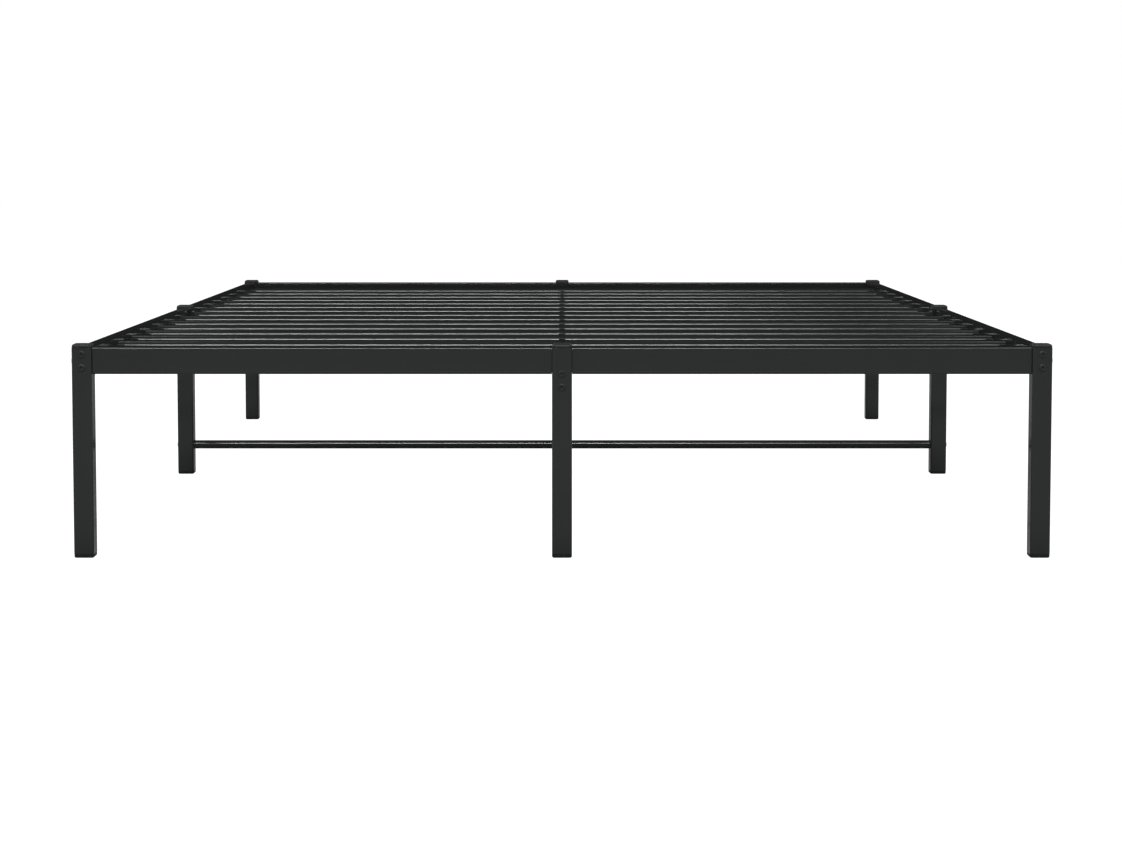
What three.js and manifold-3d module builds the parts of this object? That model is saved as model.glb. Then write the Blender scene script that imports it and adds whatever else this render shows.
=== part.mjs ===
// A powder-coated steel bed frame that bolts together, in millimetres, +Z up.
// The bed's length lies along Y with its foot end at -Y. The origin is on the floor below its centre.
import * as THREE from "three";
import { mergeVertices } from "three/addons/utils/BufferGeometryUtils.js";
import Module from "manifold-3d";

const wasm = await Module();
wasm.setup();

// Overall sizes, over the legs
const bedWidth = 1460;
const bedLength = 2060;
const bedHeight = 321;

// Air between pieces that touch, or that slide into each other
const fitGap = 0.3;

// Square legs, with a plastic cap on top and a plastic foot below
const legSize = 30;
const legWall = 1.5;
const legCorner = 3;
const capFlange = 5.5;
const capEdge = 4;
const footFlange = 5.5;
const footEdge = 2.5;
const flangeCorner = 1;
const plugBase = 4;
const plugProng = 7;
const plugDepth = 16;

// Rectangular rails round the edge, and the beam of the same tube under the slats
const railWidth = 20;
const railHeight = 40;
const railWall = 1.5;
const railCorner = 2.5;
const spigotLength = 30;
const spigotWall = 2;
const lidThickness = 3;
const weldLap = 0.5;

// Round slats across the bed
const slatsPerHalf = 7;
const slatEndSpace = 90;
const slatDiameter = 16;
const slatWall = 1.2;
const slatDrop = 8.5;

// Cradles that the slats lie in: on the side rails, and on the beam
const cradleWall = 2;
const cradleRise = 4;
const sideCradleLength = 12.5;
const beamCradleLength = 10;
const beamCradleBase = 4.5;

// Round bar between the middle legs
const crossbarDiameter = 16;
const crossbarWall = 1.2;
const crossbarHeight = 55;
const crossbarPlug = 10;

// Bolts and what they screw into
const boltDiameter = 6;
const boltHead = 11;
const boltHeadHeight = 1.6;
const boltSocket = 4;
const boltSocketDepth = 2.5;
const boltSpacing = 20;
const boltTail = 4;
const nutPlateWidth = 13;
const nutPlateMargin = 3;
const nutPlateThickness = 4;
const boltedPlate = 3;
const threadedPlate = 6;

// The segments of each kind of arc, with two flats to a segment.
// A cradle is half a turn of a tube's flats, so that they lie along those of its slat.
const cornerSegments = 1;
const tubeSegments = 6;
const cradleSegments = tubeSegments / 2;
const boltSegments = 5;

// Where things stand
const legX = (bedWidth - legSize) / 2;
const legY = (bedLength - legSize) / 2;
const legTop = bedHeight - capFlange;
const railZ = legTop - railHeight / 2;
const slatZ = legTop - slatDrop - slatDiameter / 2;
const beamTop = slatZ - slatDiameter / 2 - beamCradleBase;
const beamZ = beamTop - railHeight / 2;
const slatPitch = (legY - legSize / 2 - slatEndSpace) / slatsPerHalf;
const endRailLength = legX - legSize - 2 * fitGap;
const sideRailLength = legY - legSize - 2 * fitGap;
const railStart = legSize / 2 + fitGap;
const boltHole = boltDiameter / 2 + fitGap;

const coat = new THREE.MeshStandardMaterial({ color: 0x2b2d2c, roughness: 0.45, metalness: 0.1 });
const plastic = new THREE.MeshStandardMaterial({ color: 0x262827, roughness: 0.6, metalness: 0 });
const zinc = new THREE.MeshStandardMaterial({ color: 0x1e1f20, roughness: 0.35, metalness: 0.8 });

const X = new THREE.Vector3(1, 0, 0);
const Y = new THREE.Vector3(0, 1, 0);
const Z = new THREE.Vector3(0, 0, 1);
const turns = {
  x: new THREE.Matrix4().makeBasis(Y, Z, X),
  y: new THREE.Matrix4().makeBasis(X.clone().negate(), Z, Y),
  z: new THREE.Matrix4(),
};

const frame = new THREE.Group();

function solid(geometry) {
  geometry.deleteAttribute("normal");
  geometry.deleteAttribute("uv");
  const merged = mergeVertices(geometry);
  return new wasm.Manifold(new wasm.Mesh({
    numProp: 3,
    vertProperties: merged.attributes.position.array,
    triVerts: Uint32Array.from(merged.index.array),
  }));
}

function place(name, body, material, x, y, z, turn = 0) {
  const { vertProperties, triVerts } = body.getMesh();
  const geometry = new THREE.BufferGeometry();
  geometry.setAttribute("position", new THREE.BufferAttribute(vertProperties, 3));
  geometry.setIndex(new THREE.BufferAttribute(triVerts, 1));
  geometry.computeVertexNormals();
  const mesh = new THREE.Mesh(geometry, material);
  mesh.name = name;
  mesh.position.set(x, y, z);
  mesh.rotation.z = turn;
  frame.add(mesh);
  return mesh;
}

function roundedRectangle(width, height, radius) {
  const x = width / 2 - radius;
  const y = height / 2 - radius;
  const outline = new THREE.Shape();
  outline.absarc(x, y, radius, 0, Math.PI / 2);
  outline.absarc(-x, y, radius, Math.PI / 2, Math.PI);
  outline.absarc(-x, -y, radius, Math.PI, Math.PI * 1.5);
  outline.absarc(x, -y, radius, Math.PI * 1.5, Math.PI * 2);
  return outline;
}

function circle(radius) {
  const outline = new THREE.Shape();
  outline.absarc(0, 0, radius, 0, Math.PI * 2);
  return outline;
}

function hollow(outer, inner) {
  outer.holes.push(inner);
  return outer;
}

// The radius inside a tube's corner, which never quite comes to an edge
function insideCorner(corner, wall) {
  return Math.max(corner - wall, corner / 3);
}

function rectangularTube(width, height, wall, corner) {
  const inner = roundedRectangle(width - 2 * wall, height - 2 * wall, insideCorner(corner, wall));
  return hollow(roundedRectangle(width, height, corner), inner);
}

// A straight piece of one section, from one place to another along an axis.
// Along X a section's own axes are Y and Z, and along Y they are -X and Z.
function prism(section, axis, from, to, centre = [0, 0, 0], curveSegments = cornerSegments) {
  const depth = to - from;
  const geometry = new THREE.ExtrudeGeometry(section, { depth, bevelEnabled: false, curveSegments });
  geometry.translate(0, 0, from);
  geometry.applyMatrix4(turns[axis]);
  geometry.translate(...centre);
  return solid(geometry);
}

function roundTube(diameter, wall, length) {
  const section = hollow(circle(diameter / 2), circle(diameter / 2 - wall));
  return prism(section, "x", -length / 2, length / 2, [0, 0, 0], tubeSegments);
}

function drill(radius, axis, reach, centre, curveSegments = boltSegments) {
  return prism(circle(radius), axis, -reach, reach, centre, curveSegments);
}

// The trough that a slat lies in, seen along the slat, with the slat's centre at the origin.
// It is round underneath, unless a base gives the depth of its flat bottom below that centre.
function cradleSection(base = 0) {
  const inner = slatDiameter / 2 + fitGap;
  const outer = inner + cradleWall;
  const outline = new THREE.Shape();
  outline.moveTo(-outer, cradleRise);
  if (base > 0) {
    outline.lineTo(-outer, -base);
    outline.lineTo(outer, -base);
  } else {
    outline.absarc(0, 0, outer, Math.PI, Math.PI * 2);
  }
  outline.lineTo(outer, cradleRise);
  outline.lineTo(inner, cradleRise);
  outline.absarc(0, 0, inner, Math.PI * 2, Math.PI, true);
  outline.lineTo(-inner, cradleRise);
  return outline;
}

function sideCradle(from, to, y, z) {
  return prism(cradleSection(), "x", from, to, [0, y, z], cradleSegments);
}

// It stands on the beam's top, let in by the lap of its weld
function beamCradle(y, z) {
  const base = slatDiameter / 2 + beamCradleBase + weldLap;
  const half = beamCradleLength / 2;
  return prism(cradleSection(base), "x", -half, half, [0, y, z], cradleSegments);
}

function legTube(top) {
  const section = rectangularTube(legSize, legSize, legWall, legCorner);
  return prism(section, "z", footFlange + fitGap, top);
}

// A stub of tube welded to a leg's face at height z, that a rail slides onto
function spigot(axis, side, z) {
  const inset = railWall + fitGap;
  const width = railWidth - 2 * inset;
  const section = rectangularTube(width, railHeight - 2 * inset, spigotWall, railCorner);
  const root = legSize / 2 - weldLap;
  const tip = legSize / 2 + spigotLength;
  return side > 0 ? prism(section, axis, root, tip, [0, 0, z]) : prism(section, axis, -tip, -root, [0, 0, z]);
}

function addSpigots(leg, axis, z) {
  return leg.add(spigot(axis, 1, z)).add(spigot(axis, -1, z));
}

// A pair of bolt holes along Y, one above the other about a height z
function drillPair(body, y, z) {
  const upper = drill(boltHole, "y", legSize, [0, y, z + boltSpacing / 2]);
  const lower = drill(boltHole, "y", legSize, [0, y, z - boltSpacing / 2]);
  return body.subtract(upper).subtract(lower);
}

function cornerLeg() {
  const leg = drillPair(legTube(legTop - fitGap), 0, railZ);
  return leg.subtract(drill(boltHole, "x", legSize, [0, 0, railZ]));
}

function endCentreLeg() {
  const leg = drillPair(legTube(legTop - fitGap), 0, beamZ);
  return addSpigots(leg, "x", railZ);
}

// The right-hand one, whose cradle is on its -X face
function sideMiddleLeg() {
  const leg = addSpigots(legTube(legTop - fitGap), "y", railZ);
  const face = -legSize / 2;
  const cradle = sideCradle(face - sideCradleLength, face + weldLap, 0, slatZ);
  return leg.add(cradle).subtract(drill(boltHole, "x", legSize, [0, 0, crossbarHeight]));
}

// It ends level with the beam, under a welded lid with a cradle on it
function centreMiddleLeg() {
  const lidSize = legSize - 2 * legWall + 2 * weldLap;
  const lid = prism(roundedRectangle(lidSize, lidSize, legCorner), "z", beamTop - lidThickness, beamTop);
  const leg = addSpigots(legTube(beamTop).add(lid).add(beamCradle(0, slatZ)), "y", beamZ);
  const hole = drill(crossbarDiameter / 2 + fitGap, "x", legSize, [0, 0, crossbarHeight], tubeSegments);
  return leg.subtract(hole);
}

// A flange the size of a leg, standing on z = 0, with its upper edges rounded
function flange(height, edge) {
  const size = legSize - 2 * edge;
  const rounded = new THREE.ExtrudeGeometry(roundedRectangle(size, size, flangeCorner), {
    depth: height,
    bevelThickness: edge,
    bevelSize: edge,
    bevelSegments: 2,
    curveSegments: cornerSegments,
  });
  rounded.translate(0, 0, -edge);
  const below = new THREE.BoxGeometry(2 * legSize, 2 * legSize, 4 * edge);
  below.translate(0, 0, -2 * edge);
  return solid(rounded).subtract(solid(below));
}

// A plastic end for a leg's tube: the flange stands up from z = 0 and the plug hangs below it.
// Four corner prongs leave the middle of each wall free for the bolts.
function legPlug(height, edge) {
  const bore = legSize - 2 * (legWall + fitGap);
  const corner = insideCorner(legCorner, legWall);
  let plug = flange(height, edge).add(prism(roundedRectangle(bore, bore, corner), "z", -plugBase, weldLap));
  const reach = (bore - plugProng - corner) / 2;
  const prongHeight = plugDepth - plugBase + weldLap;
  for (const x of [-reach, reach]) {
    for (const y of [-reach, reach]) {
      const prong = new THREE.BoxGeometry(plugProng, plugProng, prongHeight);
      prong.translate(x, y, prongHeight / 2 - plugDepth);
      plug = plug.add(solid(prong));
    }
  }
  return plug;
}

// A rail's tube runs along +Y from its open end. A plate inside its far end takes the bolts.
function rail(length, plate) {
  const tube = prism(rectangularTube(railWidth, railHeight, railWall, railCorner), "y", 0, length);
  const lap = 2 * (railWall - weldLap);
  const section = roundedRectangle(railWidth - lap, railHeight - lap, railCorner);
  return tube.add(prism(section, "y", length - plate, length));
}

function endRail() {
  const hole = drill(boltHole, "y", 2 * threadedPlate, [0, endRailLength, 0]);
  return rail(endRailLength, threadedPlate).subtract(hole);
}

// side is 1 with the cradles on the rail's +X face and -1 with them on its -X face
function sideRail(side) {
  let body = drillPair(rail(sideRailLength, boltedPlate), sideRailLength, 0);
  const near = railWidth / 2 - weldLap;
  const far = railWidth / 2 + sideCradleLength;
  const [from, to] = side > 0 ? [near, far] : [-far, -near];
  for (let slat = 1; slat <= slatsPerHalf; slat += 1) {
    body = body.add(sideCradle(from, to, slat * slatPitch - railStart, slatZ - railZ));
  }
  return body;
}

function centreBeam() {
  let body = drillPair(rail(sideRailLength, boltedPlate), sideRailLength, 0);
  for (let slat = 1; slat <= slatsPerHalf; slat += 1) {
    body = body.add(beamCradle(slat * slatPitch - railStart, slatZ - beamZ));
  }
  return body;
}

function crossbar() {
  const length = 2 * (legX - legSize / 2 - fitGap);
  let bar = roundTube(crossbarDiameter, crossbarWall, length);
  for (const side of [-1, 1]) {
    const middle = side * (length - crossbarPlug) / 2;
    const radius = crossbarDiameter / 2 - crossbarWall + weldLap;
    const [from, to] = [middle - crossbarPlug / 2, middle + crossbarPlug / 2];
    const plug = prism(circle(radius), "x", from, to, [0, 0, 0], tubeSegments);
    bar = bar.add(plug).subtract(drill(boltHole, "x", crossbarPlug * 2, [middle, 0, 0]));
  }
  return bar;
}

// A low domed bolt at height z, its head just clear of the face at y = 0 and its shank towards -Y
function bolt(length, z) {
  const shank = boltDiameter / 2;
  const head = boltHead / 2;
  const profile = [
    new THREE.Vector2(0, -length),
    new THREE.Vector2(shank, -length),
    new THREE.Vector2(shank, 0),
    new THREE.Vector2(head, 0),
    new THREE.Vector2(head * 0.75, boltHeadHeight),
    new THREE.Vector2(0, boltHeadHeight),
  ];
  const body = new THREE.LatheGeometry(profile, 2 * boltSegments);
  const hexRadius = boltSocket / Math.sqrt(3);
  const socket = new THREE.CylinderGeometry(hexRadius, hexRadius, 2 * boltSocketDepth, 6);
  body.translate(0, fitGap, z);
  socket.translate(0, boltHeadHeight + fitGap, z);
  return solid(body).subtract(solid(socket));
}

// Two bolts through a leg and the plate they screw into, with the leg's outer face at y = 0.
// The plate lies inside the rail, behind the rail's own end plate.
function boltPair() {
  const plateNear = legSize + fitGap + boltedPlate + fitGap;
  const plateFar = plateNear + nutPlateThickness;
  const plateHeight = boltSpacing + boltDiameter + 2 * nutPlateMargin;
  const plate = new THREE.BoxGeometry(nutPlateWidth, nutPlateThickness, plateHeight);
  plate.translate(0, -(plateNear + plateFar) / 2, 0);
  const length = plateFar + boltTail;
  return solid(plate).add(bolt(length, boltSpacing / 2)).add(bolt(length, -boltSpacing / 2));
}

function crossbarBolt() {
  return bolt(legSize + crossbarPlug + boltTail, 0);
}

function addLegs() {
  for (const [row, end] of [["front", -1], ["rear", 1]]) {
    for (const [column, side] of [["left", -1], ["right", 1]]) {
      place(`leg_${row}_${column}`, cornerLeg(), coat, side * legX, end * legY, 0);
    }
    place(`leg_${row}_centre`, endCentreLeg(), coat, 0, end * legY, 0);
  }
  place("leg_middle_left", sideMiddleLeg(), coat, -legX, 0, 0, Math.PI);
  place("leg_middle_right", sideMiddleLeg(), coat, legX, 0, 0);
  place("leg_middle_centre", centreMiddleLeg(), coat, 0, 0, 0);
}

function addPlugs() {
  for (const [row, end] of [["front", -1], ["middle", 0], ["rear", 1]]) {
    for (const [column, side] of [["left", -1], ["centre", 0], ["right", 1]]) {
      const [x, y] = [side * legX, end * legY];
      const foot = place(`foot_${row}_${column}`, legPlug(footFlange, footEdge), plastic, x, y, footFlange);
      foot.rotation.x = Math.PI;
      if (end !== 0 || side !== 0) {
        place(`cap_${row}_${column}`, legPlug(capFlange, capEdge), plastic, x, y, legTop);
      }
    }
  }
}

function addRails() {
  for (const [row, end] of [["front", -1], ["rear", 1]]) {
    const along = end > 0 ? 0 : Math.PI;
    for (const [column, side] of [["left", -1], ["right", 1]]) {
      const across = -side * Math.PI / 2;
      const sideHalf = sideRail(-side * end);
      place(`end_rail_${row}_${column}`, endRail(), coat, side * railStart, end * legY, railZ, across);
      place(`side_rail_${row}_${column}`, sideHalf, coat, side * legX, end * railStart, railZ, along);
    }
    place(`centre_beam_${row}`, centreBeam(), coat, 0, end * railStart, beamZ, along);
  }
}

function addSlats() {
  for (let slat = -slatsPerHalf; slat <= slatsPerHalf; slat += 1) {
    const innerFace = slat === 0 ? legX - legSize / 2 : legX - railWidth / 2;
    const number = String(slat + slatsPerHalf + 1).padStart(2, "0");
    const tube = roundTube(slatDiameter, slatWall, 2 * (innerFace - fitGap));
    place(`slat_${number}`, tube, coat, 0, slat * slatPitch, slatZ);
  }
}

function addBolts() {
  const face = legY + legSize / 2;
  for (const [row, end] of [["front", -1], ["rear", 1]]) {
    const along = end > 0 ? 0 : Math.PI;
    place(`bolts_${row}_left`, boltPair(), zinc, -legX, end * face, railZ, along);
    place(`bolts_${row}_centre`, boltPair(), zinc, 0, end * face, beamZ, along);
    place(`bolts_${row}_right`, boltPair(), zinc, legX, end * face, railZ, along);
  }
  const sideFace = legX + legSize / 2;
  place("crossbar_bolt_left", crossbarBolt(), zinc, -sideFace, 0, crossbarHeight, Math.PI / 2);
  place("crossbar_bolt_right", crossbarBolt(), zinc, sideFace, 0, crossbarHeight, -Math.PI / 2);
}

addLegs();
addPlugs();
addRails();
place("crossbar", crossbar(), coat, 0, 0, crossbarHeight);
addSlats();
addBolts();

export default frame;
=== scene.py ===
import math

import bmesh
import bpy
from mathutils import Euler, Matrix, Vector


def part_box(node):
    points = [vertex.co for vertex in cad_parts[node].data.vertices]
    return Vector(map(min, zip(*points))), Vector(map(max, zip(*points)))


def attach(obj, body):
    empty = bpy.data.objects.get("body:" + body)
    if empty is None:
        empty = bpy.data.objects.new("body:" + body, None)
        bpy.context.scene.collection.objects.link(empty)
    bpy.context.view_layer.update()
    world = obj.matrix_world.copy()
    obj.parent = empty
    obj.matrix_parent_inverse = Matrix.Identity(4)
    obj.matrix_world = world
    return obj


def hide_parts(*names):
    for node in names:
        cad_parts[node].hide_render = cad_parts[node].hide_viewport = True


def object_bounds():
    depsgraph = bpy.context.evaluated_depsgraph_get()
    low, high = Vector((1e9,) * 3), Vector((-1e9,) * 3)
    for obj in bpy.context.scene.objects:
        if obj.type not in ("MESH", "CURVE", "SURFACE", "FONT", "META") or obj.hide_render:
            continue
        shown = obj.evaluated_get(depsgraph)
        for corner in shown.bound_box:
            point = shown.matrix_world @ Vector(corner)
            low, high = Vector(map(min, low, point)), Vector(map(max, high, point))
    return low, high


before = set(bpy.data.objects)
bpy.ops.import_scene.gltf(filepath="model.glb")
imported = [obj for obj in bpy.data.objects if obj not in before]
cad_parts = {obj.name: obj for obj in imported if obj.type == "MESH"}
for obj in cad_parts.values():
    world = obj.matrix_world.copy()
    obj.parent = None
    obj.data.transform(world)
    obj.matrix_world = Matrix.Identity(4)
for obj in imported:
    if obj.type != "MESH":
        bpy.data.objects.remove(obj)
cadLow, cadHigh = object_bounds()
mm = 0.001
rows = ("front", "middle", "rear")
columns = ("left", "centre", "right")
aligned = 0.9  # how closely a direction agrees with an axis to count as along it
atTop = 0.99  # the share of a height above which an edge belongs to the top
smoothAngle = math.radians(32)
breakAngle = math.radians(50)


# Selecting and finishing by hand

def leaveEdit():
    if bpy.context.mode != "OBJECT":
        bpy.ops.object.mode_set(mode="OBJECT")


def only(piece):
    leaveEdit()
    bpy.ops.object.select_all(action="DESELECT")
    piece.select_set(True)
    bpy.context.view_layer.objects.active = piece


def edit(piece, kind):
    only(piece)
    bpy.ops.object.mode_set(mode="EDIT")
    bpy.ops.mesh.select_mode(type=kind)
    bpy.ops.mesh.select_all(action="DESELECT")
    return bmesh.from_edit_mesh(piece.data)


def pickFaces(piece, wanted):
    shape = edit(piece, "FACE")
    for face in shape.faces:
        face.select_set(wanted(face.calc_center_median(), face.normal))
    bmesh.update_edit_mesh(piece.data)


def pickEdges(piece, wanted):
    shape = edit(piece, "EDGE")
    for edge in shape.edges:
        start, end = edge.verts[0].co, edge.verts[1].co
        edge.select_set(wanted((start + end) / 2, (end - start).normalized()))
    bmesh.update_edit_mesh(piece.data)


def extrude(x, y, z):
    bpy.ops.mesh.extrude_region_move(TRANSFORM_OT_translate={"value": (x, y, z)})


def settle(piece):
    only(piece)
    bpy.ops.object.transform_apply(location=True, rotation=True, scale=True)
    return piece


def named(name):
    piece = bpy.context.object
    piece.name = piece.data.name = name
    return settle(piece)


def addBlock(name, low, high):
    leaveEdit()
    low, high = Vector(low), Vector(high)
    bpy.ops.mesh.primitive_cube_add(size=1, location=(low + high) / 2, scale=high - low)
    return named(name)


def addRod(name, start, end, radius, sides=48, ends="NGON"):
    leaveEdit()
    start, end = Vector(start), Vector(end)
    turn = (end - start).to_track_quat("Z", "Y").to_euler()
    bpy.ops.mesh.primitive_cylinder_add(vertices=sides, radius=radius, depth=(end - start).length,
                                        end_fill_type=ends, location=(start + end) / 2, rotation=turn)
    return named(name)


def modify(piece, kind, **settings):
    only(piece)
    step = piece.modifiers.new(kind, kind)
    for setting, value in settings.items():
        setattr(step, setting, value)
    bpy.ops.object.modifier_apply(modifier=step.name)


def weldOn(piece, *parts):
    for part in parts:
        modify(piece, "BOOLEAN", operation="UNION", solver="EXACT", object=part)
        bpy.data.objects.remove(part)
    return piece


def cutAway(piece, *tools):
    for tool in tools:
        modify(piece, "BOOLEAN", operation="DIFFERENCE", solver="EXACT", object=tool)
        bpy.data.objects.remove(tool)
    return piece


def joinAll(parts):
    only(parts[0])
    for part in parts[1:]:
        part.select_set(True)
    if len(parts) > 1:
        bpy.ops.object.join()
    return parts[0]


def copyTo(source, name, place=(0, 0, 0), turn=(0, 0, 0)):
    piece = source.copy()
    piece.data = source.data.copy()
    piece.name = piece.data.name = name
    bpy.context.collection.objects.link(piece)
    piece.location = place
    piece.rotation_euler = turn
    return settle(piece)


def smooth(piece):
    only(piece)
    bpy.ops.object.shade_smooth_by_angle(angle=smoothAngle)
    modify(piece, "WEIGHTED_NORMAL", weight=100, keep_sharp=True)


def fit(piece, material, slotName, *nodes):
    smooth(piece)
    piece.data.materials.clear()
    piece.data.materials.append(material)
    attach(piece, "root")
    if nodes:
        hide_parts(*nodes)


# Finishes

class Value:
    def __init__(self, finish, socket):
        self.finish = finish
        self.socket = socket

    def maths(self, operation, first, second):
        return self.finish.node("ShaderNodeMath", {"operation": operation}, {0: first, 1: second})

    def __add__(self, other):
        return self.maths("ADD", self, other)

    def __radd__(self, other):
        return self.maths("ADD", other, self)

    def __sub__(self, other):
        return self.maths("SUBTRACT", self, other)

    def __rsub__(self, other):
        return self.maths("SUBTRACT", other, self)

    def __mul__(self, other):
        return self.maths("MULTIPLY", self, other)

    def __rmul__(self, other):
        return self.maths("MULTIPLY", other, self)


# The nodes of a material, or of the room that lights it
class Finish:
    def __init__(self, owner):
        owner.use_nodes = True
        self.owner = owner
        self.nodes = owner.node_tree.nodes
        self.links = owner.node_tree.links

    def put(self, socket, value):
        if isinstance(value, Value):
            self.links.new(value.socket, socket)
        else:
            socket.default_value = value

    def node(self, kind, settings, inputs, output=0):
        node = self.nodes.new(kind)
        for setting, value in settings.items():
            setattr(node, setting, value)
        for socket, value in inputs.items():
            self.put(node.inputs[socket], value)
        return Value(self, node.outputs[output])

    def noise(self, size, detail=2.0):
        place = self.node("ShaderNodeTexCoord", {}, {}, "Object")
        sockets = {"Vector": place, "Scale": 1 / size, "Detail": detail}
        return self.node("ShaderNodeTexNoise", {}, sockets)

    def band(self, value, low, high):
        return self.node("ShaderNodeMapRange", {"interpolation_type": "SMOOTHSTEP"},
                         {"Value": value, "From Min": low, "From Max": high})

    def vector(self, operation, *values):
        return self.node("ShaderNodeVectorMath", {"operation": operation}, dict(enumerate(values)))

    def blend(self, mask, first, second):
        return self.node("ShaderNodeMix", {"data_type": "RGBA"}, {0: mask, 6: first, 7: second}, 2)

    def bump(self, height, depth):
        return self.node("ShaderNodeBump", {}, {"Height": height, "Distance": depth})

    def set(self, name, **inputs):
        for socket, value in inputs.items():
            self.put(self.nodes[name].inputs[socket.replace("_", " ")], value)
        return self.owner


def newFinish(name):
    return Finish(bpy.data.materials.new(name))


powderCoat = {
    "dark": (0.0076, 0.0091, 0.0084, 1),
    "light": (0.0118, 0.0136, 0.0128, 1),
    "roughness": 0.095,
    "gloss": 0.26,
    "cloudSize": 220 * mm,
    "cloudShare": 0.55,
    "cloudRoughness": 0.03,
    "fleckSize": 0.35 * mm,
    "fleckEdge": (0.60, 0.72),
    "fleckShare": 0.45,
    "peelSize": 2.6 * mm,
    "peelShare": 0.75,
    "grainSize": 0.6 * mm,
    "grainShare": 0.25,
    "grainRoughness": 0.02,
    "relief": 0.005 * mm,
}


def makePowderCoat(sizes):
    finish = newFinish("powderCoat")
    peel = finish.noise(sizes["peelSize"], detail=1.5)
    grain = finish.noise(sizes["grainSize"])
    clouds = finish.noise(sizes["cloudSize"], detail=3.0)
    flecks = finish.band(finish.noise(sizes["fleckSize"], detail=1.0), *sizes["fleckEdge"])
    mottle = clouds * sizes["cloudShare"] + flecks * sizes["fleckShare"]
    roughness = clouds * sizes["cloudRoughness"] + grain * sizes["grainRoughness"]
    skin = peel * sizes["peelShare"] + grain * sizes["grainShare"]
    return finish.set(
        "Principled BSDF",
        Base_Color=finish.blend(mottle, sizes["dark"], sizes["light"]),
        Roughness=roughness + sizes["roughness"],
        Normal=finish.bump(skin, sizes["relief"]),
        Specular_IOR_Level=sizes["gloss"],
    )


plasticSkin = {
    "dark": (0.0068, 0.0074, 0.0072, 1),
    "light": (0.0135, 0.0144, 0.0140, 1),
    "roughness": 0.40,
    "gloss": 0.17,
    "scuffSize": 3.5 * mm,
    "scuffEdge": (0.55, 0.75),
    "scuffRoughness": 0.12,
    "grainSize": 0.40 * mm,
    "grainRoughness": 0.10,
    "relief": 0.05 * mm,
}


def makePlastic(sizes):
    finish = newFinish("mouldedPlastic")
    grain = finish.noise(sizes["grainSize"], detail=3.0)
    scuffs = finish.band(finish.noise(sizes["scuffSize"], detail=4.0), *sizes["scuffEdge"])
    roughness = scuffs * sizes["scuffRoughness"] + grain * sizes["grainRoughness"]
    return finish.set(
        "Principled BSDF",
        Base_Color=finish.blend(scuffs, sizes["dark"], sizes["light"]),
        Roughness=roughness + sizes["roughness"],
        Normal=finish.bump(grain, sizes["relief"]),
        Specular_IOR_Level=sizes["gloss"],
    )


blackZinc = {
    "dark": (0.012, 0.012, 0.0125, 1),
    "light": (0.030, 0.030, 0.029, 1),
    "roughness": 0.30,
    "metallic": 0.65,
    "stainSize": 1.6 * mm,
    "stainEdge": (0.35, 0.70),
    "stainRoughness": 0.14,
    "grainSize": 0.2 * mm,
    "grainRoughness": 0.06,
    "relief": 0.01 * mm,
}


def makeBlackZinc(sizes):
    finish = newFinish("blackZinc")
    grain = finish.noise(sizes["grainSize"])
    stain = finish.band(finish.noise(sizes["stainSize"], detail=4.0), *sizes["stainEdge"])
    roughness = stain * sizes["stainRoughness"] + grain * sizes["grainRoughness"]
    return finish.set(
        "Principled BSDF",
        Base_Color=finish.blend(stain, sizes["dark"], sizes["light"]),
        Roughness=roughness + sizes["roughness"],
        Normal=finish.bump(grain, sizes["relief"]),
        Metallic=sizes["metallic"],
    )


coatFinish = makePowderCoat(powderCoat)
plasticFinish = makePlastic(plasticSkin)
zincFinish = makeBlackZinc(blackZinc)
print("finishes made")


# Places that the frame gives

legLow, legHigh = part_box("leg_front_left")
legHalf = (legHigh.x - legLow.x) / 2
legCentre = {}
for row in rows:
    for column in columns:
        low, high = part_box(f"foot_{row}_{column}")
        legCentre[row, column] = (low + high) / 2
slatBoxes = [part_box(name) for name in sorted(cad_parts) if name.startswith("slat_")]
slatPlaces = [(low + high) / 2 for low, high in slatBoxes]
slatHeight = slatPlaces[0].z
slatRadius = (slatBoxes[0][1].y - slatBoxes[0][0].y) / 2
gap = 0.3 * mm


# Tubes

tubing = {
    "wall": 1.5 * mm,
    "cornerSteps": 6,
    "innerSteps": 4,
    "burr": 0.25 * mm,
    "burrSteps": 2,
}


def addTube(name, low, high, axis, corner, wall=tubing["wall"]):
    tube = addBlock(name, low, high)
    pickEdges(tube, lambda middle, way: abs(way[axis]) > aligned)
    bpy.ops.mesh.bevel(offset=corner, segments=tubing["cornerSteps"], affect="EDGES")
    pickFaces(tube, lambda middle, normal: abs(normal[axis]) > aligned)
    bpy.ops.mesh.delete(type="FACE")
    modify(tube, "SOLIDIFY", thickness=wall, offset=-1, use_even_offset=True)
    breakEdges(tube, tubing["burr"])
    return tube


def breakEdges(piece, width, steps=tubing["burrSteps"]):
    modify(piece, "BEVEL", width=width, segments=steps, limit_method="ANGLE",
           angle_limit=breakAngle, use_clamp_overlap=True)


def addRoundTube(name, start, end, radius, wall):
    tube = addRod(name, start, end, radius, ends="NOTHING")
    modify(tube, "SOLIDIFY", thickness=wall, offset=-1, use_even_offset=True)
    breakEdges(tube, tubing["burr"])
    return tube


# Cradles for the slats, with the weld that runs round each

cradle = {
    "wall": 2.0 * mm,
    "rise": 4.0 * mm,  # how far the strap's ends stand above the slat's axis
    "turnSteps": 16,
    "sideLength": 12.5 * mm,
    "beamLength": 10.0 * mm,
    "step": 1.0 * mm,  # how far the cheek stands back from the strap
    "edge": 0.4 * mm,
    "bead": 1.5 * mm,
    "beadSides": 10,
    "saddleBead": 1.05 * mm,
    "drops": 9,
    "dropSwell": 1.3,
    "ripple": 0.5 * mm,
    "rippleSize": 1.6 * mm,
    "lap": 0.5 * mm,  # how deep welded pieces run into each other
}

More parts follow.
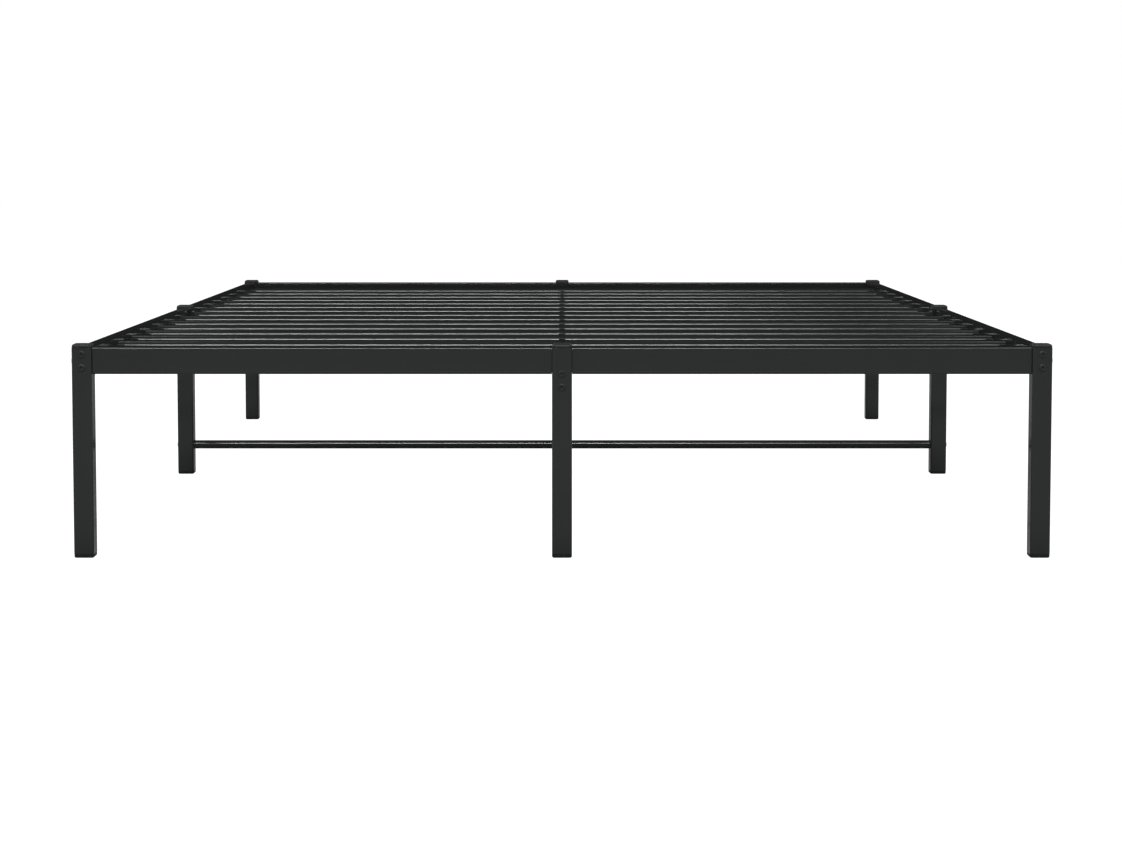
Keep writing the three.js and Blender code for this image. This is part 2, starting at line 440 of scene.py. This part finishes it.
ripples = bpy.data.textures.new("weldRipples", "CLOUDS")
ripples.noise_scale = cradle["rippleSize"]
ripples.noise_depth = 1


def rippleWeld(bead):
    modify(bead, "DISPLACE", texture=ripples, texture_coords="LOCAL",
           strength=cradle["ripple"], mid_level=0.5)
    return bead


def faceOutwards(piece):
    bpy.ops.mesh.select_all(action="SELECT")
    bpy.ops.mesh.normals_make_consistent(inside=False)
    only(piece)
    return piece


# Carries the face of a piece down one side of the slat, round below it and up the other side
def sweepTrough(piece):
    pickFaces(piece, lambda middle, normal: True)
    extrude(0, 0, -cradle["rise"])
    bpy.ops.mesh.spin(steps=cradle["turnSteps"], angle=math.pi, center=(0, 0, 0), axis=(1, 0, 0))
    extrude(0, 0, cradle["rise"])
    return faceOutwards(piece)


# The slat's axis is the X axis here, and the strap reaches from start to end along it
def addStrap(start, end):
    reach = slatRadius + gap + cradle["wall"] / 2
    bpy.ops.mesh.primitive_plane_add(size=1, location=((start + end) / 2, reach, cradle["rise"]))
    strap = bpy.context.object
    strap.scale = (end - start, cradle["wall"], 1)
    strap = sweepTrough(named("strap"))
    breakEdges(strap, cradle["edge"])
    return strap


def addStrapBead():
    reach = slatRadius + gap + cradle["wall"]
    bpy.ops.mesh.primitive_circle_add(vertices=cradle["beadSides"], radius=cradle["bead"],
                                      fill_type="NGON", location=(0, reach, cradle["rise"]))
    return sweepTrough(named("strapBead"))


# A short strap on a solid cheek, which stands on the beam
def addSaddle(beamTop):
    saddle = addStrap(-cradle["beamLength"] / 2, cradle["beamLength"] / 2)
    middle = slatRadius + gap + cradle["wall"] / 2
    half = Vector((cradle["beamLength"] / 2 - cradle["step"], middle - cradle["step"] / 2, 0))
    foot = Vector((0, 0, beamTop - slatHeight - cradle["lap"]))
    cheek = addBlock("cheek", foot - half, half)
    cutAway(cheek, addRod("trough", (-2 * half.x, 0, 0), (2 * half.x, 0, 0), middle))
    return weldOn(saddle, cheek)


# A straight bead laid down as a row of overlapping drops along Y
def addSaddleBead(x, z):
    length = 2 * (slatRadius + cradle["wall"])
    halfDrop = length / cradle["drops"] / 2
    bpy.ops.mesh.primitive_circle_add(vertices=cradle["beadSides"], radius=cradle["saddleBead"],
                                      fill_type="NGON", location=(x, -length / 2, z),
                                      rotation=(math.pi / 2, 0, 0))
    bead = named("saddleBead")
    pickFaces(bead, lambda middle, normal: True)
    for half in range(2 * cradle["drops"]):
        extrude(0, halfDrop, 0)
        width = 1 / cradle["dropSwell"] if half % 2 else cradle["dropSwell"]
        middle = (x, -length / 2 + (half + 1) * halfDrop, z)
        bpy.ops.transform.resize(value=(width, 1, width), center_override=middle)
    return faceOutwards(bead)


def cradlesAlong(masters, places, turn=(0, 0, 0)):
    sets = []
    for master in masters:
        copies = [copyTo(master, master.name + "Copy", place, turn) for place in places]
        sets.append(joinAll(copies))
    return sets


# Legs

leg = {
    "corner": 3.0 * mm,
    "spigot": 30.0 * mm,
    "spigotWall": 2.0 * mm,
    "spigotCorner": 2.6 * mm,
    "lid": 3.0 * mm,
    "lidStep": 0.1 * mm,
}

rail = {
    "width": 20.0 * mm,
    "height": 40.0 * mm,
    "corner": 2.5 * mm,
    "boltedPlate": 3.0 * mm,
    "threadedPlate": 6.0 * mm,
}

bolt = {
    "hole": 3.3 * mm,
    "holeSides": 32,
    "shank": 3.0 * mm,
    "head": 5.5 * mm,
    "headHeight": 1.6 * mm,
    "dome": 1.1 * mm,
    "domeSteps": 5,
    "socket": 4.0 * mm,
    "socketDepth": 2.5 * mm,
    "socketSides": 6,
    "edge": 0.2 * mm,
    "spacing": 20.0 * mm,
    "tail": 4.0 * mm,
    "sides": 40,
}


def drillHole(piece, axis, place, reach, radius=bolt["hole"]):
    way = Vector((axis == 0, axis == 1, axis == 2)) * reach
    start, end = Vector(place) - way, Vector(place) + way
    return cutAway(piece, addRod("drill", start, end, radius, bolt["holeSides"]))


def drillPair(piece, place, reach):
    up = Vector((0, 0, bolt["spacing"] / 2))
    drillHole(piece, 1, Vector(place) + up, reach)
    return drillHole(piece, 1, Vector(place) - up, reach)


def addLegTube(name, row, column, top):
    centre = legCentre[row, column]
    low = (centre.x - legHalf, centre.y - legHalf, legLow.z)
    high = (centre.x + legHalf, centre.y + legHalf, top)
    return addTube(name, low, high, 2, leg["corner"])


def addSpigots(tube, centre, axis, height):
    inset = tubing["wall"] + gap
    across = rail["width"] / 2 - inset
    for side in (-1, 1):
        ends = sorted((side * (legHalf - cradle["lap"]), side * (legHalf + leg["spigot"])))
        low = Vector((centre.x - across, centre.y - across, height - rail["height"] / 2 + inset))
        high = Vector((centre.x + across, centre.y + across, height + rail["height"] / 2 - inset))
        low[axis] = centre[axis] + ends[0]
        high[axis] = centre[axis] + ends[1]
        weldOn(tube, addTube("spigot", low, high, axis, leg["spigotCorner"], leg["spigotWall"]))
    return tube


railLow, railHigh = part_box("end_rail_front_left")
railHeight = (railLow.z + railHigh.z) / 2
beamLow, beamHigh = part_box("centre_beam_front")
beamTop = beamLow.z + rail["height"]
beamHeight = beamLow.z + rail["height"] / 2
crossLow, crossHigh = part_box("crossbar")
crossHeight = (crossLow.z + crossHigh.z) / 2

strap = addStrap(-cradle["lap"], cradle["sideLength"])
strapBead = addStrapBead()
saddle = addSaddle(beamTop)
cheekSide = cradle["beamLength"] / 2 - cradle["step"]
saddleBeads = joinAll([addSaddleBead(side * cheekSide, beamTop - slatHeight) for side in (-1, 1)])


def weldCradles(piece, masters, places, turn=(0, 0, 0)):
    shapes, beads = cradlesAlong(masters, places, turn)
    return weldOn(piece, shapes, rippleWeld(beads))


for row in ("front", "rear"):
    for column in ("left", "right"):
        name = f"leg_{row}_{column}"
        centre = legCentre[row, column]
        tube = addLegTube(name + "_tube", row, column, legHigh.z)
        drillPair(tube, (centre.x, centre.y, railHeight), 2 * legHalf)
        drillHole(tube, 0, (centre.x, centre.y, railHeight), 2 * legHalf)
        fit(tube, coatFinish, "powder_coat", name)
    name = f"leg_{row}_centre"
    centre = legCentre[row, "centre"]
    tube = addLegTube(name + "_tube", row, "centre", legHigh.z)
    drillPair(tube, (centre.x, centre.y, beamHeight), 2 * legHalf)
    fit(addSpigots(tube, centre, 0, railHeight), coatFinish, "powder_coat", name)

for side, column in ((-1, "left"), (1, "right")):
    name = f"leg_middle_{column}"
    centre = legCentre["middle", column]
    tube = addLegTube(name + "_tube", "middle", column, legHigh.z)
    drillHole(tube, 0, (centre.x, centre.y, crossHeight), 2 * legHalf)
    addSpigots(tube, centre, 1, railHeight)
    face = (centre.x - side * legHalf, centre.y, slatHeight)
    weldCradles(tube, (strap, strapBead), [face], (0, 0, math.pi if side > 0 else 0))
    fit(tube, coatFinish, "powder_coat", name)

centre = legCentre["middle", "centre"]
crossRadius = (crossHigh.y - crossLow.y) / 2
tube = addLegTube("leg_middle_centre_tube", "middle", "centre", beamTop)
drillHole(tube, 0, (0, 0, crossHeight), 2 * legHalf, crossRadius + gap)
lidHalf = legHalf - tubing["wall"] + cradle["lap"]
lidTop = beamTop - leg["lidStep"]
lid = addBlock("lid", (-lidHalf, -lidHalf, beamTop - leg["lid"]), (lidHalf, lidHalf, lidTop))
pickEdges(lid, lambda middle, way: abs(way.z) > aligned)
bpy.ops.mesh.bevel(offset=leg["corner"], segments=tubing["innerSteps"], affect="EDGES")
weldOn(tube, lid)
addSpigots(tube, centre, 1, beamHeight)
weldCradles(tube, (saddle, saddleBeads), [(0, 0, slatHeight)])
fit(tube, coatFinish, "powder_coat", "leg_middle_centre")
print("legs made")


# Rails and beam

def addRail(name, start, end, axis, plate):
    low = Vector(map(min, start, end))
    high = Vector(map(max, start, end))
    across = 1 - axis
    half = Vector((0, 0, rail["height"] / 2))
    half[across] = rail["width"] / 2
    tube = addTube(name, low - half, high + half, axis, rail["corner"])
    inset = tubing["wall"] - cradle["lap"]
    inner = Vector((0, 0, rail["height"] / 2 - inset))
    inner[across] = rail["width"] / 2 - inset
    way = (Vector(end) - Vector(start)).normalized()
    near, far = Vector(end) - way * plate, Vector(end) - way * tubing["burr"]
    low = Vector(map(min, near, far)) - inner
    high = Vector(map(max, near, far)) + inner
    cover = addBlock("cover", low, high)
    pickEdges(cover, lambda middle, edgeWay: abs(edgeWay[axis]) > aligned)
    bpy.ops.mesh.bevel(offset=rail["corner"] - inset, segments=tubing["innerSteps"], affect="EDGES")
    return weldOn(tube, cover)


for end, row in ((-1, "front"), (1, "rear")):
    y = legCentre[row, "left"].y
    for side, column in ((-1, "left"), (1, "right")):
        x = legCentre[row, column].x
        inner = legHalf + gap
        name = f"end_rail_{row}_{column}"
        start, stop = (side * inner, y, railHeight), (x - side * inner, y, railHeight)
        body = addRail(name + "_tube", start, stop, 0, rail["threadedPlate"])
        drillHole(body, 0, stop, 2 * rail["threadedPlate"])
        fit(body, coatFinish, "powder_coat", name)

        name = f"side_rail_{row}_{column}"
        start, stop = (x, end * inner, railHeight), (x, y - end * inner, railHeight)
        body = addRail(name + "_tube", start, stop, 1, rail["boltedPlate"])
        drillPair(body, stop, 2 * rail["boltedPlate"])
        face = x - side * rail["width"] / 2
        places = [(face, place.y, slatHeight) for place in slatPlaces if place.y * end > inner]
        weldCradles(body, (strap, strapBead), places, (0, 0, math.pi if side > 0 else 0))
        fit(body, coatFinish, "powder_coat", name)

    name = f"centre_beam_{row}"
    start, stop = (0, end * inner, beamHeight), (0, y - end * inner, beamHeight)
    body = addRail(name + "_tube", start, stop, 1, rail["boltedPlate"])
    drillPair(body, stop, 2 * rail["boltedPlate"])
    places = [(0, place.y, slatHeight) for place in slatPlaces if place.y * end > inner]
    weldCradles(body, (saddle, saddleBeads), places)
    fit(body, coatFinish, "powder_coat", name)
for master in (strap, strapBead, saddle, saddleBeads):
    bpy.data.objects.remove(master)
print("rails made")


# Slats and crossbar

slat = {"wall": 1.2 * mm}

for number, (low, high) in enumerate(slatBoxes, 1):
    name = f"slat_{number:02d}"
    middle = (low + high) / 2
    start, stop = (low.x, middle.y, middle.z), (high.x, middle.y, middle.z)
    body = addRoundTube(name + "_tube", start, stop, slatRadius, slat["wall"])
    fit(body, coatFinish, "powder_coat", name)

crossbar = {"wall": 1.2 * mm, "plug": 10.0 * mm}
ends = [Vector((x, 0, crossHeight)) for x in (crossLow.x, crossHigh.x)]
body = addRoundTube("crossbar_tube", ends[0], ends[1], crossRadius, crossbar["wall"])
for side, end in zip((1, -1), ends):
    shy = Vector((side * tubing["burr"], 0, 0))
    deep = Vector((side * crossbar["plug"], 0, 0))
    weldOn(body, addRod("plug", end + shy, end + deep, crossRadius - crossbar["wall"] + cradle["lap"]))
    drillHole(body, 0, end, 2 * crossbar["plug"])
fit(body, coatFinish, "powder_coat", "crossbar")
print("slats made")


# Plastic caps and feet

plug = {
    "corner": 4.5 * mm,
    "capEdge": 3.8 * mm,
    "footEdge": 2.5 * mm,
    "flange": 5.5 * mm,
    "edgeSteps": 6,
    "base": 4.0 * mm,
    "prong": 7.0 * mm,
    "prongTaper": 0.75,
    "prongEdge": 0.6 * mm,
    "prongStep": 0.5 * mm,
    "depth": 16.0 * mm,
    "gate": 1.4 * mm,
    "gateDepth": 0.25 * mm,
    "gateSides": 24,
}


# The flange stands up from z = 0 and the plug hangs below it
def addPlug(name, edge):
    top = plug["flange"]
    body = addBlock(name, (-legHalf, -legHalf, 0), (legHalf, legHalf, top))
    pickEdges(body, lambda middle, way: abs(way.z) > aligned)
    bpy.ops.mesh.bevel(offset=plug["corner"], segments=plug["edgeSteps"], affect="EDGES")
    pickEdges(body, lambda middle, way: middle.z > atTop * top)
    bpy.ops.mesh.bevel(offset=edge, segments=plug["edgeSteps"], affect="EDGES")
    bore = legHalf - tubing["wall"] - gap
    neck = addBlock("neck", (-bore, -bore, -plug["base"]), (bore, bore, cradle["lap"]))
    pickEdges(neck, lambda middle, way: abs(way.z) > aligned)
    bpy.ops.mesh.bevel(offset=leg["corner"] - tubing["wall"], segments=tubing["innerSteps"], affect="EDGES")
    weldOn(body, neck)
    half = plug["prong"] / 2
    reach = bore - half - plug["prongStep"]
    taper = (plug["prongTaper"], plug["prongTaper"], 1)
    for x in (-reach, reach):
        for y in (-reach, reach):
            low = (x - half, y - half, -plug["depth"])
            prong = addBlock("prong", low, (x + half, y + half, cradle["lap"] - plug["base"]))
            pickFaces(prong, lambda middle, normal: normal.z < -aligned)
            bpy.ops.transform.resize(value=taper, center_override=(x, y, -plug["depth"]))
            breakEdges(prong, plug["prongEdge"])
            weldOn(body, prong)
    dimple, above = (0, 0, top - plug["gateDepth"]), (0, 0, 2 * top)
    return cutAway(body, addRod("gate", dimple, above, plug["gate"], plug["gateSides"]))


cap = addPlug("capMaster", plug["capEdge"])
foot = addPlug("footMaster", plug["footEdge"])
capSeat = cadHigh.z - plug["flange"]
for (row, column), centre in legCentre.items():
    name = f"foot_{row}_{column}"
    body = copyTo(foot, name + "_plug", (centre.x, centre.y, plug["flange"]), (math.pi, 0, 0))
    fit(body, plasticFinish, "moulded_plastic", name)
    if (row, column) != ("middle", "centre"):
        name = f"cap_{row}_{column}"
        body = copyTo(cap, name + "_plug", (centre.x, centre.y, capSeat))
        fit(body, plasticFinish, "moulded_plastic", name)
for master in (cap, foot):
    bpy.data.objects.remove(master)
print("caps and feet made")


# Bolts and nut plates

# The head stands up from z = 0 and the shank hangs below it
def addBolt(name, length):
    body = addRod(name, (0, 0, 0), (0, 0, bolt["headHeight"]), bolt["head"], bolt["sides"])
    pickEdges(body, lambda middle, way: middle.z > atTop * bolt["headHeight"])
    bpy.ops.mesh.bevel(offset=bolt["dome"], segments=bolt["domeSteps"], affect="EDGES")
    pickFaces(body, lambda middle, normal: normal.z < -aligned)
    bpy.ops.mesh.inset(thickness=bolt["head"] - bolt["shank"])
    extrude(0, 0, -length)
    bottom, above = (0, 0, bolt["headHeight"] - bolt["socketDepth"]), (0, 0, 2 * bolt["headHeight"])
    acrossCorners = bolt["socket"] * 2 / math.sqrt(3)
    cutAway(body, addRod("socket", bottom, above, acrossCorners / 2, bolt["socketSides"]))
    breakEdges(body, bolt["edge"])
    return body


plate = {
    "width": 13.0 * mm,
    "thickness": 4.0 * mm,
    "margin": 3.0 * mm,
    "edge": 0.5 * mm,
}
plateNear = 2 * legHalf + 2 * gap + rail["boltedPlate"]
plateFar = plateNear + plate["thickness"]
pairLength = plateFar + bolt["tail"]
pairBolt = addBolt("pairBolt", pairLength)
plateX = plate["width"] / 2
plateY = bolt["spacing"] / 2 + bolt["shank"] + plate["margin"]
nutPlate = addBlock("nutPlate", (-plateX, -plateY, -plateFar), (plateX, plateY, -plateNear))
breakEdges(nutPlate, plate["edge"])
for side in (-1, 1):
    seat = (0, side * bolt["spacing"] / 2, -(plateNear + plateFar) / 2)
    drillHole(nutPlate, 2, seat, plate["thickness"])
for end, row in ((-1, "front"), (1, "rear")):
    for column in columns:
        centre = legCentre[row, column]
        height = beamHeight if column == "centre" else railHeight
        seat = Vector((centre.x, centre.y + end * (legHalf + gap), height))
        turn = (-end * math.pi / 2, 0, 0)
        node = f"bolts_{row}_{column}"
        body = copyTo(nutPlate, node + "_plate", seat, turn)
        fit(body, zincFinish, "black_zinc", node)
        for place, rise in (("upper", bolt["spacing"] / 2), ("lower", -bolt["spacing"] / 2)):
            body = copyTo(pairBolt, f"{node}_{place}", seat + Vector((0, 0, rise)), turn)
            fit(body, zincFinish, "black_zinc", node)

sideBolt = addBolt("sideBolt", 2 * legHalf + rail["threadedPlate"] + bolt["tail"])
barBolt = addBolt("barBolt", 2 * legHalf + crossbar["plug"] + bolt["tail"])
for side, column in ((-1, "left"), (1, "right")):
    turn = (0, side * math.pi / 2, 0)
    for row in rows:
        centre = legCentre[row, column]
        x = centre.x + side * (legHalf + gap)
        if row == "middle":
            body = copyTo(barBolt, f"crossbar_bolt_{column}_head", (x, centre.y, crossHeight), turn)
            fit(body, zincFinish, "black_zinc", f"crossbar_bolt_{column}")
        else:
            body = copyTo(sideBolt, f"side_bolt_{row}_{column}", (x, centre.y, railHeight), turn)
            fit(body, zincFinish, "black_zinc")
for master in (pairBolt, nutPlate, sideBolt, barBolt):
    bpy.data.objects.remove(master)
print("bolts made")


# Studio

studio = {
    "white": (1, 1, 1, 1),
    "floorSize": 60,
    "floorTone": (0.12, 0.12, 0.12, 1),
    "floorRoughness": 0.9,
    "floorGloss": 0.1,
    "floorGlow": 1.0,
    # the glow the floor sends to the frame is painted bounce light, with painted shade under and behind the
    # frame
    "bounce": 0.48,
    "shadedBounce": 0.03,
    "shadePlace": (0, 1.6, 0),
    "shadeReach": (0.73, 2.7, 1),
    "shadeEdge": (0.9, 1.1),
    "backdrop": 1.0,
    "ambient": 0.010,
    "keyHeight": 3.9,
    "keyDistance": 5.2,
    "keyTall": 0.5,
    # the left end, the right end and the glow of each strip
    "keyStrips": ((-1.7, 0.75, 66.0), (0.75, 1.15, 38.0), (1.15, 2.3, 18.0)),
    # the turn from the front, the lift and the glow of each pair
    "fills": {75: (14, 0.5), 125: (14, 0.6), 45: (42, 1.5), 95: (42, 3.0), 130: (42, 3.0)},
    "fillDistance": 6.5,
    "fillSize": (4.7, 2.9),
    "topHeight": 4.5,
    "topSize": 3.0,
    "topGlow": 0.12,
    "panelWatts": 4,  # for each square metre, at a glow of 1
}


# The floor shows white to the camera, but its glow is painted bounce light that throws less light back,
# least of all under the frame and behind it, where shade is painted
def makeFloor():
    bpy.ops.mesh.primitive_plane_add(size=studio["floorSize"], location=(0, 0, 0))
    floor = named("floor")
    finish = newFinish("floorPaintWithPaintedShade")
    place = finish.node("ShaderNodeTexCoord", {}, {}, "Object")
    place = finish.vector("SUBTRACT", place, studio["shadePlace"])
    place = finish.vector("ABSOLUTE", place)
    place = finish.vector("DIVIDE", place, studio["shadeReach"])
    across = finish.node("ShaderNodeSeparateXYZ", {}, {0: place}, "X")
    along = finish.node("ShaderNodeSeparateXYZ", {}, {0: place}, "Y")
    outside = finish.band(across.maths("MAXIMUM", across, along), *studio["shadeEdge"])
    # painted shade: the glow falls to the shaded bounce under the frame and behind it
    bounce = outside * (studio["bounce"] - studio["shadedBounce"]) + studio["shadedBounce"]
    seen = finish.node("ShaderNodeLightPath", {}, {}, "Is Camera Ray")
    # the floor glows though it is no lamp: white to the camera, painted bounce light towards the frame
    glow = seen * studio["floorGlow"] + (1 - seen) * bounce
    floorWithPaintedShade = finish.set(
        "Principled BSDF",
        Base_Color=studio["floorTone"],
        Roughness=studio["floorRoughness"],
        Specular_IOR_Level=studio["floorGloss"],
        Emission_Color=glow,
        Emission_Strength=1,
    )
    floor.data.materials.append(floorWithPaintedShade)


# The backdrop shows white while the room that lights the frame stays dim
def makeRoom():
    room = Finish(bpy.data.worlds.new("studioRoom"))
    seen = room.node("ShaderNodeLightPath", {}, {}, "Is Camera Ray")
    dim, backdrop = [
        room.node("ShaderNodeBackground", {}, {"Color": studio["white"], "Strength": strength})
        for strength in (studio["ambient"], studio["backdrop"])
    ]
    mix = room.node("ShaderNodeMixShader", {}, {0: seen, 1: dim, 2: backdrop})
    room.set("World Output", Surface=mix)
    bpy.context.scene.world = room.owner


def addPanel(name, place, size, glow):
    lamp = bpy.data.lights.new(name, "AREA")
    lamp.shape = "RECTANGLE"
    lamp.size, lamp.size_y = size
    lamp.energy = studio["panelWatts"] * size[0] * size[1] * glow
    panel = bpy.data.objects.new(name, lamp)
    panel.location = place
    panel.rotation_euler = (-Vector(place)).to_track_quat("-Z", "Y").to_euler()
    bpy.context.collection.objects.link(panel)
    return panel


def lightStudio():
    for number, (left, right, glow) in enumerate(studio["keyStrips"], 1):
        place = ((left + right) / 2, -studio["keyDistance"], studio["keyHeight"])
        panel = addPanel(f"keyStrip{number}", place, (right - left, studio["keyTall"]), glow)
        panel.rotation_euler = (math.atan2(studio["keyDistance"], studio["keyHeight"]), 0, 0)
    for turn, (lift, glow) in studio["fills"].items():
        forward = Vector((0, -studio["fillDistance"], 0))
        for side in (-1, 1):
            aim = Euler((-math.radians(lift), 0, side * math.radians(turn)))
            place = forward.copy()
            place.rotate(aim)
            addPanel(f"fill{side * turn}", place, studio["fillSize"], glow)
    top = (0, 0, studio["topHeight"])
    addPanel("top", top, (studio["topSize"], studio["topSize"]), studio["topGlow"])


makeFloor()
makeRoom()
lightStudio()

view = {
    "place": (0.0006, -4.7355, 0.5888),
    "tilt": 4.0,
    "lens": 80.18,
    "sensor": 36,
    "shift": (-0.00125, -0.07332),
}
lens = bpy.data.cameras.new("camera")
lens.sensor_width = view["sensor"]
lens.lens = view["lens"]
lens.shift_x, lens.shift_y = view["shift"]
camera = bpy.data.objects.new("camera", lens)
camera.location = view["place"]
camera.rotation_euler = (math.radians(90 - view["tilt"]), 0, 0)
bpy.context.collection.objects.link(camera)
bpy.context.scene.camera = camera
bpy.context.scene.view_settings.view_transform = "Standard"
print("studio made")
